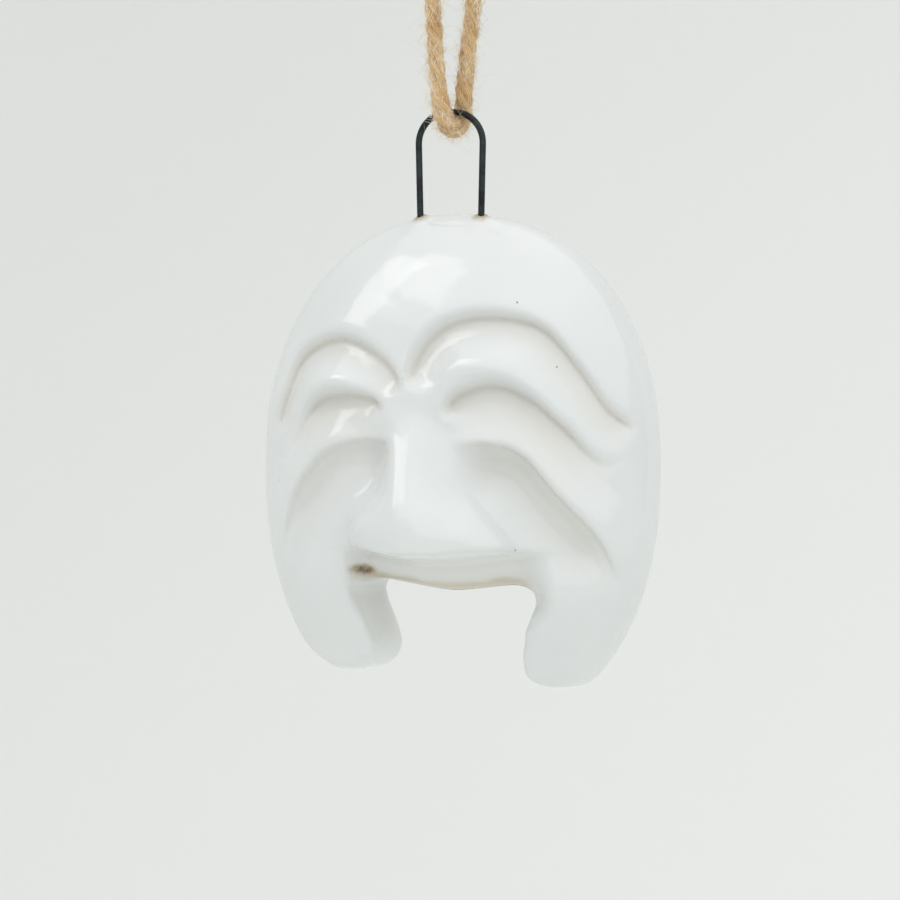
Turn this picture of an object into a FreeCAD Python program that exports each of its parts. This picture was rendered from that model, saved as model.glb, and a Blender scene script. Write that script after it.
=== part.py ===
"""Small glazed ceramic face mask on a wire bow, hung from a loop of jute twine.

Millimetres. The origin is the inside top of the twine loop, where a hook or nail
carries it. +Z is up, +X is the mask's left cheek (the viewer's right) and the face
looks along -Y.
"""
import FreeCAD
import Part
import math
import os

from FreeCAD import Rotation, Vector

DRIVING_SIZES = [
    ("mask_width", 51.8, "mask, cheek to cheek"),
    ("mask_height", 59.2, "mask, crown of the head to the lower cheek lobe"),
    ("mask_crown_drop", 12.5, "top of the wire bow's centreline down to the mask"),
    ("dome_rise", 10.8, "bulge of the face above its side wall"),
    ("side_wall", 6.2, "straight side of the mask in front of its flat back"),
    ("back_offset", 7.6, "flat back behind the plane of the wire bow"),
    ("clay_wall", 4.8, "clay thickness at the rim"),
    ("hollow_depth", 12.8, "depth of the hollow back"),
    ("hollow_foot", 41.5, "crown of the head down to the hollow's lower end"),
    ("mouth_width", 25.3, "gap between the cheek lobes along the upper lip"),
    ("mouth_foot", 16.4, "gap between the lower ends of the lobes"),
    ("mouth_shift", 0.25, "middle of the gap to the right of the nose, at the lip"),
    ("mouth_foot_shift", 1.0, "the same at the lower ends of the lobes"),
    ("mouth_top", 46.4, "crown of the head down to the upper lip's edge"),
    ("lobe_step", 1.6, "the right-hand lobe hangs this much lower"),
    ("lobe_corner", 5.5, "rounding of the lobes' outer corners"),
    ("lobe_nose", 3.2, "rounding of the lobes' inner corners"),
    ("mouth_corner", 2.4, "rounding at the top of the mouth gap"),
    ("relief_scale", 1.0, "strength of the brows, lids, cheeks and nose"),
    ("wire_dia", 0.82, "nichrome wire"),
    ("bow_half_width", 4.4, "wire bow, middle plane to centreline at the top"),
    ("bow_pinch", 0.4, "how far each wire leg leans in at the clay"),
    ("wire_embed", 5.0, "wire inside the clay"),
    ("twine_dia", 2.0, "jute twine"),
    ("loop_drop", 20.0, "inside top of the twine loop down to the wire"),
    ("twist_gap", 0.2, "gap where the twine is parted for its twist joint"),
    ("twist_height", 4.2, "inside top of the loop down to that gap"),
    ("knot_width", 5.6, "overhand knot, side to side"),
    ("knot_height", 4.4, "overhand knot, bottom to top and front to back"),
    ("knot_shift", 0.35, "middle of the knot to the right of the hook"),
]

# The twine's route. Each point is (x, y, z) in mm; the loop goes down in front of
# the wire bow, under it and up behind it.
LEG_ROUTE = [
    (-2.40, -0.60, -4.30),
    (-1.10, -1.72, -21.85),
    (1.10, 1.72, -21.85),
    (3.10, 0.60, -4.30),
]
CROWN_ROUTE = [
    (-2.40, -0.60, -4.10),
    (-2.60, -0.50, 1.60),
    (3.30, 0.50, 1.60),
    (3.10, 0.60, -4.10),
]
LEFT_TAIL_ROUTE = [
    (-0.40, 0.30, 2.60),
    (-1.60, 0.90, 6.20),
    (-4.00, 1.10, 9.20),
]
RIGHT_TAIL_ROUTE = [
    (1.10, -0.30, 2.60),
    (2.10, -0.80, 6.00),
    (4.40, -1.60, 8.40),
]

# Lines of the face, as (x, z) in mm from the crown of the head, before smoothing.
# Each runs from beside the nose outwards, and its points are set by hand.
LEFT_BROW = [(-2.5, -22.0), (-5.5, -18.5), (-12.0, -16.0), (-18.0, -18.0), (-22.0, -27.0)]
RIGHT_BROW = [(-2.0, -21.0), (1.0, -16.0), (8.0, -13.5), (15.0, -16.0), (20.5, -23.0),
              (25.0, -27.5)]
LEFT_LID = [(-6.0, -24.5), (-11.0, -23.0), (-16.0, -24.5), (-20.5, -30.5)]
RIGHT_LID = [(3.0, -25.0), (8.5, -22.0), (14.5, -24.5), (19.5, -30.0), (24.0, -31.0)]
LEFT_CHEEK = [(-5.0, -29.5), (-8.5, -29.0), (-14.0, -31.0), (-21.0, -37.5)]
RIGHT_CHEEK = [(3.5, -30.0), (8.5, -31.0), (12.5, -35.0), (21.0, -39.5), (23.0, -46.0)]

CROWN_POWER = 2.12
JAW_POWER = 2.3
CROWN_SHARE = 0.524
JAW_SHARE = 0.571
DOME_POWER = 3.0
HOLLOW_POWER = 3.2
PAST_RIM = 1.12
DRAWN_WIDTH = 51.8
DRAWN_HEIGHT = 59.2
SLAB_DEPTH = 45.0
CUTTER_DEPTH = 60.0
CUTTER_DROP = 20.0
CUTTER_BEHIND = 10.0
EGG_STRETCH = 1.03
RELIEF_ENDS = 1.06
RELIEF_FADE = 0.25


def make_sheet(doc):
    """Write the driving dimensions into a spreadsheet with an alias for each."""
    sheet = doc.addObject("Spreadsheet::Sheet", "sizes")
    for row, (name, value, note) in enumerate(DRIVING_SIZES, start=1):
        sheet.set(f"A{row}", name)
        sheet.set(f"B{row}", str(value))
        sheet.setAlias(f"B{row}", name)
        sheet.set(f"C{row}", note)
    doc.recompute()
    return sheet


def crown_height(sheet):
    """Z of the mask's crown: the wire's top, then down to the clay."""
    return -sheet.loop_drop - sheet.mask_crown_drop


def smooth_line(points, per_span=6):
    """Pass a Catmull-Rom curve through the points of one line of the face."""
    ends = [points[0]] + list(points) + [points[-1]]
    line = []
    for before, start, end, after in zip(ends, ends[1:], ends[2:], ends[3:]):
        for step in range(per_span):
            t = step / per_span
            line.append(tuple(
                0.5 * (2 * b + (c - a) * t + (2 * a - 5 * b + 4 * c - d) * t * t
                       + (3 * b - a - 3 * c + d) * t ** 3)
                for a, b, c, d in zip(before, start, end, after)))
    line.append(tuple(points[-1]))
    return line


def across_line(line, x, z):
    """Signed distance above a line of the face, and how far along it (0 to 1)."""
    best = None
    spans = len(line) - 1
    for index in range(spans):
        (ax, az), (bx, bz) = line[index], line[index + 1]
        dx, dz = bx - ax, bz - az
        length2 = dx * dx + dz * dz
        t = ((x - ax) * dx + (z - az) * dz) / length2
        t = min(1.0, max(0.0, t))
        gap = math.hypot(x - ax - dx * t, z - az - dz * t)
        if best is None or gap < best[0]:
            outward = 1.0 if line[-1][0] > line[0][0] else -1.0
            side = outward * (dx * (z - az) - dz * (x - ax))
            best = (gap, math.copysign(gap, side), (index + t) / spans)
    return best[1], best[2]


def hump(distance, centre, width):
    """Smooth bump of height 1."""
    return math.exp(-((distance - centre) / width) ** 2)


def fold(line, x, z, crest, groove, roll):
    """Height of one fold: a crest above its line, a groove on it, a roll below."""
    gap, along = across_line(line, x, z)
    if abs(gap) > 9.0:
        return 0.0
    fade = min(1.0, 0.35 + 3.0 * along) * min(1.0, 2.2 * (1.0 - along))
    return fade * (crest * hump(gap, 2.0, 1.9) - groove * hump(gap, -0.2, 1.25)
                   + roll * hump(gap, -3.2, 1.8))


def nose(x, z):
    """Height of the nose: a narrow bridge that spreads to wide wings."""
    drop = (-26.0 - z) / 16.0
    if drop < -0.35 or z < -46.0:
        return 0.0
    reach = min(1.0, max(0.0, drop))
    middle = -2.6 + 2.6 * reach
    ridge = (1.6 + 2.9 * reach) * hump(x, middle, 1.9 + 1.5 * reach)
    wings = 2.6 * hump(z, -39.6, 3.6) * hump(x, 0.6, 8.2)
    base = 1.0 / (1.0 + math.exp((-42.6 - z) / 0.45))
    top = min(1.0, max(0.0, (drop + 0.35) / 0.45))
    return (ridge + wings) * base * top


FACE_FOLDS = [
    (smooth_line(LEFT_BROW), 1.0, 1.1, 0.6),
    (smooth_line(RIGHT_BROW), 1.0, 1.2, 0.7),
    (smooth_line(LEFT_LID), 0.4, 1.0, 0.5),
    (smooth_line(RIGHT_LID), 0.4, 1.1, 0.5),
    (smooth_line(LEFT_CHEEK), 0.6, 1.1, 0.3),
    (smooth_line(RIGHT_CHEEK), 0.6, 1.1, 0.4),
]


def relief(x, z):
    """Height of the face's features over the plain dome."""
    height = nose(x, z)
    for line, crest, groove, roll in FACE_FOLDS:
        height += fold(line, x, z, crest, groove, roll)
    height += 1.2 * hump(math.hypot(x - 15.0, z + 47.0), 0.0, 7.0)
    height += 1.2 * hump(math.hypot(x + 14.0, z + 46.0), 0.0, 7.0)
    height -= 1.8 * hump(z, -45.6, 2.6) * hump(x, 1.0, 9.0)
    return height


def outline_reach(height, inset, above, foot):
    """How far the egg shape goes up or down from its widest level."""
    if above:
        return CROWN_SHARE * height - inset
    if foot is None:
        return JAW_SHARE * height - inset
    return foot - CROWN_SHARE * height


def outline_radius(x, z, half_width, height, inset=0.0, foot=None):
    """How far out (x, z) lies: 0 in the middle of the face, 1 on its outline."""
    middle = -CROWN_SHARE * height
    above = z > middle
    power = CROWN_POWER if above else JAW_POWER
    reach = outline_reach(height, inset, above, foot)
    across = abs(x) / (half_width - inset)
    along = abs(z - middle) / reach
    return (across ** power + along ** power) ** (1.0 / power)


def outline_face(half_width, height, z_crown, y, inset=0.0, foot=None):
    """Egg shape as a flat face facing along Y; foot is its lower end below the crown."""
    middle = -CROWN_SHARE * height
    points = []
    turns = 48
    for step in range(turns):
        angle = 2.0 * math.pi * step / turns
        sine, cosine = math.sin(angle), math.cos(angle)
        power = CROWN_POWER if sine >= 0 else JAW_POWER
        reach = outline_reach(height, inset, sine >= 0, foot)
        size = (abs(cosine) ** power + abs(sine) ** power) ** (-1.0 / power)
        points.append(Vector((half_width - inset) * cosine * size, y,
                             z_crown + middle + reach * sine * size))
    curve = Part.BSplineCurve()
    curve.interpolate(Points=points, PeriodicFlag=True)
    return Part.Face(Part.Wire(curve.toShape()))


def height_solid(height_at, x_reach, z_low, z_high, columns, rows, y_back):
    """Solid between a sculpted front surface and a plane behind it."""
    poles = []
    for column in range(columns):
        x = -x_reach + 2.0 * x_reach * column / (columns - 1)
        strip = []
        for row in range(rows):
            z = z_low + (z_high - z_low) * row / (rows - 1)
            strip.append(Vector(x, y_back - height_at(x, z), z))
        poles.append(strip)
    degree = 3
    surface = Part.BSplineSurface()
    surface.buildFromPolesMultsKnots(
        poles,
        [degree + 1] + [1] * (columns - degree - 1) + [degree + 1],
        [degree + 1] + [1] * (rows - degree - 1) + [degree + 1],
        [float(k) for k in range(columns - degree + 1)],
        [float(k) for k in range(rows - degree + 1)],
        False, False, degree, degree)
    return surface.toShape().extrude(Vector(0, SLAB_DEPTH, 0))


def make_outline_slab(doc, sheet):
    """Flat slab with the mask's outline: egg shape less mouth gap, ends rounded."""
    crown = crown_height(sheet)
    half = sheet.mask_width / 2
    crown_rule = "-sizes.loop_drop - sizes.mask_crown_drop"
    egg = doc.addObject("Part::Feature", "outline_egg")
    egg.Shape = outline_face(half, sheet.mask_height * EGG_STRETCH, crown,
                             sheet.back_offset).extrude(Vector(0, -SLAB_DEPTH, 0))
    mouth = doc.addObject("Part::Feature", "mouth_gap")
    mouth.Shape = mouth_gap_solid(sheet)
    y_rule = f"sizes.back_offset + {CUTTER_BEHIND - CUTTER_DEPTH}"
    z_rule = f"{crown_rule} - sizes.mask_height - {CUTTER_DROP}"
    under_left = add_box(
        doc, "under_left_lobe", ("-sizes.mask_width", y_rule, z_rule),
        Length="sizes.mask_width", Width=f"{CUTTER_DEPTH}",
        Height=f"{CUTTER_DROP} + sizes.lobe_step")
    under_right = add_box(
        doc, "under_right_lobe", ("0", y_rule, z_rule),
        Length="sizes.mask_width", Width=f"{CUTTER_DEPTH}", Height=f"{CUTTER_DROP}")
    cutters = doc.addObject("Part::MultiFuse", "outline_cutters")
    cutters.Shapes = [mouth, under_left, under_right]
    slab = doc.addObject("Part::Cut", "outline_cut")
    slab.Base = egg
    slab.Tool = cutters
    doc.recompute()
    rounded = doc.addObject("Part::Fillet", "outline_rounded")
    rounded.Base = slab
    rounded.Edges = [(index, radius, radius) for index, radius in lobe_edges(slab.Shape, sheet)]
    doc.recompute()
    return rounded


def mouth_gap_solid(sheet):
    """The open mouth: widest along the lip, narrower between the lobes' ends."""
    crown = crown_height(sheet)
    levels = [
        (sheet.mouth_top, sheet.mouth_shift, sheet.mouth_width / 2),
        (sheet.mask_height, sheet.mouth_foot_shift, sheet.mouth_foot / 2),
        (sheet.mask_height + CUTTER_DROP, sheet.mouth_foot_shift, sheet.mouth_foot / 2),
    ]
    y_back = sheet.back_offset + CUTTER_BEHIND
    left = [Vector(middle - half, y_back, crown - down) for down, middle, half in levels]
    right = [Vector(middle + half, y_back, crown - down) for down, middle, half in levels]
    ring = left + right[::-1] + left[:1]
    return Part.Face(Part.makePolygon(ring)).extrude(Vector(0, -CUTTER_DEPTH, 0))


def lobe_edges(slab, sheet):
    """Number and radius of each edge along Y at the mouth gap and the lobes' ends."""
    half_mouth = sheet.mouth_width / 2
    lip = crown_height(sheet) - sheet.mouth_top
    found = []
    for index, edge in enumerate(slab.Edges, start=1):
        ends = [vertex.Point for vertex in edge.Vertexes]
        if len(ends) < 2 or abs(ends[0].y - ends[1].y) < SLAB_DEPTH - 1.0:
            continue
        spot = ends[0]
        if abs(spot.z - lip) < 0.1:
            found.append((index, sheet.mouth_corner))
        elif spot.z < lip and abs(spot.x - sheet.mouth_shift) < half_mouth:
            found.append((index, sheet.lobe_nose))
        elif spot.z < lip:
            found.append((index, sheet.lobe_corner))
    return found


def make_mask_blank(doc, sheet):
    """Outer form of the mask: the sculpted dome inside its outline, flat behind."""
    crown = crown_height(sheet)
    half = sheet.mask_width / 2
    x_scale = DRAWN_WIDTH / sheet.mask_width
    z_scale = DRAWN_HEIGHT / sheet.mask_height

    def front(x, z):
        radius = min(outline_radius(x, z - crown, half, sheet.mask_height), PAST_RIM)
        dome = sheet.side_wall + sheet.dome_rise * (1.0 - radius ** DOME_POWER)
        fade = min(1.0, max(0.0, (RELIEF_ENDS - radius) / RELIEF_FADE))
        detail = relief(x * x_scale, (z - crown) * z_scale)
        return dome + sheet.relief_scale * fade * detail

    solid = height_solid(front, half + 3.0, crown - sheet.mask_height - 8.0, crown + 3.0,
                         72, 86, sheet.back_offset)
    blank = doc.addObject("Part::Feature", "mask_blank")
    blank.Shape = solid.common(make_outline_slab(doc, sheet).Shape)
    return blank


def make_hollow(doc, sheet):
    """The bowl-shaped space behind the face; it ends above the solid lobes."""
    crown = crown_height(sheet)
    half = sheet.mask_width / 2
    wall = sheet.clay_wall
    foot = sheet.hollow_foot

    def floor(x, z):
        radius = outline_radius(x, z - crown, half, sheet.mask_height, wall, foot)
        return sheet.hollow_depth * (1.0 - min(radius, PAST_RIM) ** HOLLOW_POWER)

    solid = height_solid(floor, half + 1.0, crown - foot - 3.0, crown + 1.0,
                         24, 28, sheet.back_offset)
    slab = outline_face(half, sheet.mask_height, crown, sheet.back_offset + 1.0, wall, foot)
    slab = slab.extrude(Vector(0, -SLAB_DEPTH, 0))
    hollow = doc.addObject("Part::Feature", "mask_hollow")
    hollow.Shape = solid.common(slab)
    return hollow


def add_box(doc, name, placement, **sizes):
    """Part::Box whose sizes and place are bound to the sheet."""
    box = doc.addObject("Part::Box", name)
    for key, rule in sizes.items():
        box.setExpression(key, rule)
    for axis, rule in zip("xyz", placement):
        box.setExpression(f"Placement.Base.{axis}", rule)
    return box


def make_mask_shell(doc, sheet, bow):
    """The fired clay mask: blank less its hollow and the wire's two holes."""
    blank = make_mask_blank(doc, sheet)
    hollow = make_hollow(doc, sheet)
    hollowed = doc.addObject("Part::Cut", "mask_hollowed")
    hollowed.Base = blank
    hollowed.Tool = hollow
    doc.recompute()
    feature = doc.addObject("Part::Feature", "mask_shell")
    feature.Label = "mask_shell"
    feature.Shape = hollowed.Shape.cut(bow.Shape)
    return feature


def section_disc(point, direction, diameter):
    """Round wire at the start of a path, square to it."""
    return Part.Wire(Part.makeCircle(diameter / 2, point, direction))


def rounded_route(points, radii):
    """Wire of straight runs joined by tangent arcs."""
    corners = [Vector(*p) for p in points]
    edges = []
    start = corners[0]
    for index, radius in enumerate(radii, start=1):
        corner = corners[index]
        back = (corners[index - 1] - corner).normalize()
        ahead = (corners[index + 1] - corner).normalize()
        half_turn = (math.pi - back.getAngle(ahead)) / 2
        reach = radius * math.tan(half_turn)
        enter = corner + back * reach
        leave = corner + ahead * reach
        middle = (back + ahead).normalize()
        rise = radius / math.cos(half_turn) - radius
        edges.append(Part.LineSegment(start, enter).toShape())
        edges.append(Part.Arc(enter, corner + middle * rise, leave).toShape())
        start = leave
    edges.append(Part.LineSegment(start, corners[-1]).toShape())
    return Part.Wire(edges)


def free_radii(points):
    """Arc radius at each inner point: 0.45 of the shorter run over tan(half turn)."""
    corners = [Vector(*p) for p in points]
    radii = []
    for before, corner, after in zip(corners, corners[1:], corners[2:]):
        back, ahead = before - corner, after - corner
        half_turn = (math.pi - back.getAngle(ahead)) / 2
        radii.append(0.45 * min(back.Length, ahead.Length) / math.tan(half_turn))
    return radii


def make_tube(doc, label, points, radii, diameter):
    """Plain round tube along a route, with its volume compared with its length."""
    path = rounded_route(points, radii)
    start = Vector(*points[0])
    ahead = Vector(*points[1]) - start
    shape = path.makePipeShell([section_disc(start, ahead, diameter)], True, False)
    expected = math.pi * (diameter / 2) ** 2 * path.Length
    print(f"{label}: length {path.Length:.2f}, radii {[round(r, 2) for r in radii]}, "
          f"volume {shape.Volume:.2f} of {expected:.2f}")
    feature = doc.addObject("Part::Feature", label)
    feature.Label = label
    feature.Shape = shape
    return feature


def make_wire_bow(doc, sheet):
    """Wire bent to a narrow arch, its two legs sunk in the clay."""
    top = -sheet.loop_drop
    foot = crown_height(sheet) - sheet.wire_embed
    wide = sheet.bow_half_width
    narrow = wide - sheet.bow_pinch
    points = [(-narrow, 0, foot), (-wide, 0, top), (wide, 0, top), (narrow, 0, foot)]
    return make_tube(doc, "wire_bow", points, free_radii(points), sheet.wire_dia)


def make_twine(doc, sheet):
    """The twine's loop: legs and bight, crown, knot and two cut tails."""
    under_wire = [1.85, 1.85]
    legs = make_tube(doc, "twine_legs", LEG_ROUTE, under_wire, sheet.twine_dia)
    crown = make_tube(doc, "twine_crown", CROWN_ROUTE, free_radii(CROWN_ROUTE), sheet.twine_dia)
    left = make_tube(doc, "twine_tail_left", LEFT_TAIL_ROUTE, free_radii(LEFT_TAIL_ROUTE),
                     sheet.twine_dia)
    right = make_tube(doc, "twine_tail_right", RIGHT_TAIL_ROUTE, free_radii(RIGHT_TAIL_ROUTE),
                      sheet.twine_dia)
    level = Part.makeBox(40, 40, 40)
    crown.Shape = crown.Shape.cut(level.translated(
        Vector(-20, -20, -sheet.twist_height + sheet.twist_gap / 2 - 40)))
    legs.Shape = legs.Shape.cut(level.translated(
        Vector(-20, -20, -sheet.twist_height - sheet.twist_gap / 2)))

    wrap = make_knot_wrap(doc, sheet)
    left.Shape = left.Shape.cut(wrap.Shape)
    right.Shape = right.Shape.cut(wrap.Shape)
    knot = doc.addObject("Part::Cut", "twine_knot")
    knot.Label = "twine_knot"
    knot.Base = wrap
    knot.Tool = crown
    return [legs, crown, left, right, knot]


def make_knot_wrap(doc, sheet):
    """The knot's outer form: a short fat barrel across the top of the loop."""
    barrel = doc.addObject("Part::Cylinder", "knot_barrel")
    barrel.setExpression("Radius", "sizes.knot_height / 2")
    barrel.setExpression("Height", "sizes.knot_width")
    barrel.Placement.Rotation = Rotation(Vector(0, 1, 0), 90)
    barrel.setExpression("Placement.Base.x", "sizes.knot_shift - sizes.knot_width / 2")
    barrel.setExpression("Placement.Base.z", "sizes.knot_height / 2")
    doc.recompute()
    wrap = doc.addObject("Part::Fillet", "knot_wrap")
    wrap.Base = barrel
    rims = [index for index, edge in enumerate(barrel.Shape.Edges, start=1)
            if isinstance(edge.Curve, Part.Circle)]
    wrap.Edges = [(index, sheet.knot_height * 0.36, sheet.knot_height * 0.36) for index in rims]
    doc.recompute()
    return wrap


def check_and_export(doc, features):
    """Stop on any failed object, then write one STEP file for each sub-part."""
    for item in doc.Objects:
        if {"Invalid", "Error"} & set(item.State):
            raise RuntimeError(f"{item.Name} failed: {item.State}")
    for feature in features:
        if feature.Shape.isNull() or not feature.Shape.isValid():
            raise RuntimeError(f"{feature.Label} has no valid shape")
    os.makedirs("parts", exist_ok=True)
    for feature in features:
        feature.Shape.exportStep(f"parts/{feature.Label}.step")
        centre = feature.Shape.Solids[0].CenterOfGravity
        box = feature.Shape.BoundBox
        print(f"{feature.Label}: {len(feature.Shape.Solids)} solid, "
              f"volume {feature.Shape.Volume:.1f}, "
              f"centre ({centre.x:.2f}, {centre.y:.2f}, {centre.z:.2f}), "
              f"x {box.XMin:.1f}..{box.XMax:.1f} y {box.YMin:.1f}..{box.YMax:.1f} "
              f"z {box.ZMin:.1f}..{box.ZMax:.1f}")


def main():
    """Build the document and write its sub-parts."""
    doc = FreeCAD.newDocument("hanging_mask")
    sheet = make_sheet(doc)
    bow = make_wire_bow(doc, sheet)
    twine = make_twine(doc, sheet)
    mask = make_mask_shell(doc, sheet, bow)
    doc.recompute()
    check_and_export(doc, [mask, bow] + twine)


main()
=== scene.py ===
"""Looks of a small glazed ceramic face mask on a wire bow, hung from a loop of jute twine."""
import logging
import math
import random
from dataclasses import dataclass, field
from enum import Enum
from typing import Iterator

import bmesh
import bpy
import numpy as np
from mathutils import Matrix, Vector


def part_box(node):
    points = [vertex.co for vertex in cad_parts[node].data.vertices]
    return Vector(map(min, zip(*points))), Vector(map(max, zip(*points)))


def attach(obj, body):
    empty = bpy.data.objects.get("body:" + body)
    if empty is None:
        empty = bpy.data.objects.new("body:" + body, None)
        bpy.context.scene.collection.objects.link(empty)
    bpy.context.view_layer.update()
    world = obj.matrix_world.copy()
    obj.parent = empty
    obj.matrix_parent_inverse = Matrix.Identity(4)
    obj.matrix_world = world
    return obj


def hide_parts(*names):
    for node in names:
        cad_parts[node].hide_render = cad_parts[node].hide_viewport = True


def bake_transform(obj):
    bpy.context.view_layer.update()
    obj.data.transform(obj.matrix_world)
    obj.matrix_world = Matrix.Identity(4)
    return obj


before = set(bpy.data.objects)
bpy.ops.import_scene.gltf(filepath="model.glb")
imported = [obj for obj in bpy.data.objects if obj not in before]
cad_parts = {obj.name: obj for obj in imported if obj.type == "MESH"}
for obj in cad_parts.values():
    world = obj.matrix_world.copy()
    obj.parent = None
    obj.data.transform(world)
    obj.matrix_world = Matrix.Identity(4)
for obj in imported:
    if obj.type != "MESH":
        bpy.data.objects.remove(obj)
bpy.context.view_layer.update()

MM = 0.001
LOG = logging.getLogger("hanging_mask")
Point = tuple[float, float, float]
FlatPoint = tuple[float, float]


class Body(Enum):
    """The three bodies that pieces ride on."""

    HANGING_END = "hanging_end"
    TWINE = "twine"
    MASK = "mask"


class Slot(Enum):
    """The record's material slots, which nothing here assigns to a piece."""

    GLAZE = "glaze"
    JUTE = "jute"


# ---------------------------------------------------------------- node helpers


class Recipe:
    """A material's node tree with short ways to add and join its nodes."""

    def __init__(self, name: str) -> None:
        """Start an empty material with a Principled shader.

        Args:
            name: The material's name.
        """
        self.material = bpy.data.materials.new(name)
        self.material.use_nodes = True
        self.tree = self.material.node_tree
        self.shader = self.tree.nodes["Principled BSDF"]
        self.place = self.add("ShaderNodeTexCoord")

    def add(self, kind: str, **settings: object) -> bpy.types.Node:
        """Add a node and set its properties.

        Args:
            kind: The node's type name.
            **settings: Its properties by name.

        Returns:
            The new node.
        """
        node = self.tree.nodes.new(kind)
        for key, value in settings.items():
            setattr(node, key, value)
        return node

    def join(self, source: bpy.types.NodeSocket, target: bpy.types.NodeSocket) -> None:
        """Link one socket to another."""
        self.tree.links.new(source, target)

    def attribute(self, name: str) -> bpy.types.NodeSocket:
        """Read a number stored on the mesh."""
        return self.add("ShaderNodeAttribute", attribute_name=name).outputs["Fac"]

    def noise(self, scale: float, detail: float = 3.0, rough: float = 0.5,
              stretch: Point = (1.0, 1.0, 1.0), source: str = "Object") -> bpy.types.NodeSocket:
        """Noise in the piece's own coordinates.

        Args:
            scale: Cells for each unit of the coordinates.
            detail: Octaves.
            rough: How strong the finer octaves are.
            stretch: Scale of each axis first.
            source: Which output of the texture coordinates to read.

        Returns:
            The noise's value.
        """
        mapping = self.add("ShaderNodeMapping")
        mapping.inputs["Scale"].default_value = stretch
        texture = self.add("ShaderNodeTexNoise")
        texture.inputs["Scale"].default_value = scale
        texture.inputs["Detail"].default_value = detail
        texture.inputs["Roughness"].default_value = rough
        self.join(self.place.outputs[source], mapping.inputs["Vector"])
        self.join(mapping.outputs["Vector"], texture.inputs["Vector"])
        return texture.outputs["Fac"]

    def ramp(self, value: bpy.types.NodeSocket, stops: list[tuple[float, Point]]) -> bpy.types.NodeSocket:
        """Turn a number into a colour.

        Args:
            value: The number.
            stops: Positions and colours, lowest first.

        Returns:
            The colour.
        """
        node = self.add("ShaderNodeValToRGB")
        ends = node.color_ramp.elements
        while len(ends) < len(stops):
            ends.new(0.5)
        for element, (position, colour) in zip(ends, stops):
            element.position = position
            element.color = (*colour, 1.0)
        self.join(value, node.inputs["Fac"])
        return node.outputs["Color"]

    def scaled(self, value: bpy.types.NodeSocket, low: float, high: float,
               from_low: float = 0.0, from_high: float = 1.0) -> bpy.types.NodeSocket:
        """Map a number from one range to another, held to its ends.

        Args:
            value: The number.
            low: Result at from_low.
            high: Result at from_high.
            from_low: Where the range starts.
            from_high: Where it ends.

        Returns:
            The mapped number.
        """
        node = self.add("ShaderNodeMapRange")
        node.inputs["From Min"].default_value = from_low
        node.inputs["From Max"].default_value = from_high
        node.inputs["To Min"].default_value = low
        node.inputs["To Max"].default_value = high
        self.join(value, node.inputs["Value"])
        return node.outputs["Result"]

    def blend(self, share: bpy.types.NodeSocket, first: bpy.types.NodeSocket | Point,
              second: bpy.types.NodeSocket | Point) -> bpy.types.NodeSocket:
        """Mix two colours.

        Args:
            share: How much of the second shows.
            first: Colour at 0.
            second: Colour at 1.

        Returns:
            The mixed colour.
        """
        node = self.add("ShaderNodeMix", data_type="RGBA")
        self.join(share, node.inputs["Factor"])
        for key, colour in (("A", first), ("B", second)):
            socket = next(s for s in node.inputs if s.name == key and s.type == "RGBA")
            if isinstance(colour, bpy.types.NodeSocket):
                self.join(colour, socket)
            else:
                socket.default_value = (*colour, 1.0)
        return next(s for s in node.outputs if s.type == "RGBA")

    def maths(self, how: str, first: bpy.types.NodeSocket,
              second: bpy.types.NodeSocket | float) -> bpy.types.NodeSocket:
        """Combine two numbers with a Math node.

        Args:
            how: The operation.
            first: First number.
            second: Second number or constant.

        Returns:
            The result, held between 0 and 1.
        """
        node = self.add("ShaderNodeMath", operation=how, use_clamp=True)
        self.join(first, node.inputs[0])
        if isinstance(second, bpy.types.NodeSocket):
            self.join(second, node.inputs[1])
        else:
            node.inputs[1].default_value = second
        return node.outputs["Value"]

    def bump(self, height: bpy.types.NodeSocket, strength: float, depth: float,
             under: bpy.types.NodeSocket | None = None) -> bpy.types.NodeSocket:
        """Raise the surface by a height.

        Args:
            height: The height, 0 to 1.
            strength: How much of the bump shows.
            depth: Its depth in metres.
            under: A normal that this bump adds to.

        Returns:
            The bumped normal.
        """
        node = self.add("ShaderNodeBump")
        node.inputs["Strength"].default_value = strength
        node.inputs["Distance"].default_value = depth
        self.join(height, node.inputs["Height"])
        if under is not None:
            self.join(under, node.inputs["Normal"])
        return node.outputs["Normal"]

    def constants(self, **values: float) -> None:
        """Set plain numbers on the shader's own sockets."""
        for key, value in values.items():
            self.shader.inputs[key.replace("_", " ")].default_value = value


# ---------------------------------------------------------------- finishes


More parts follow.
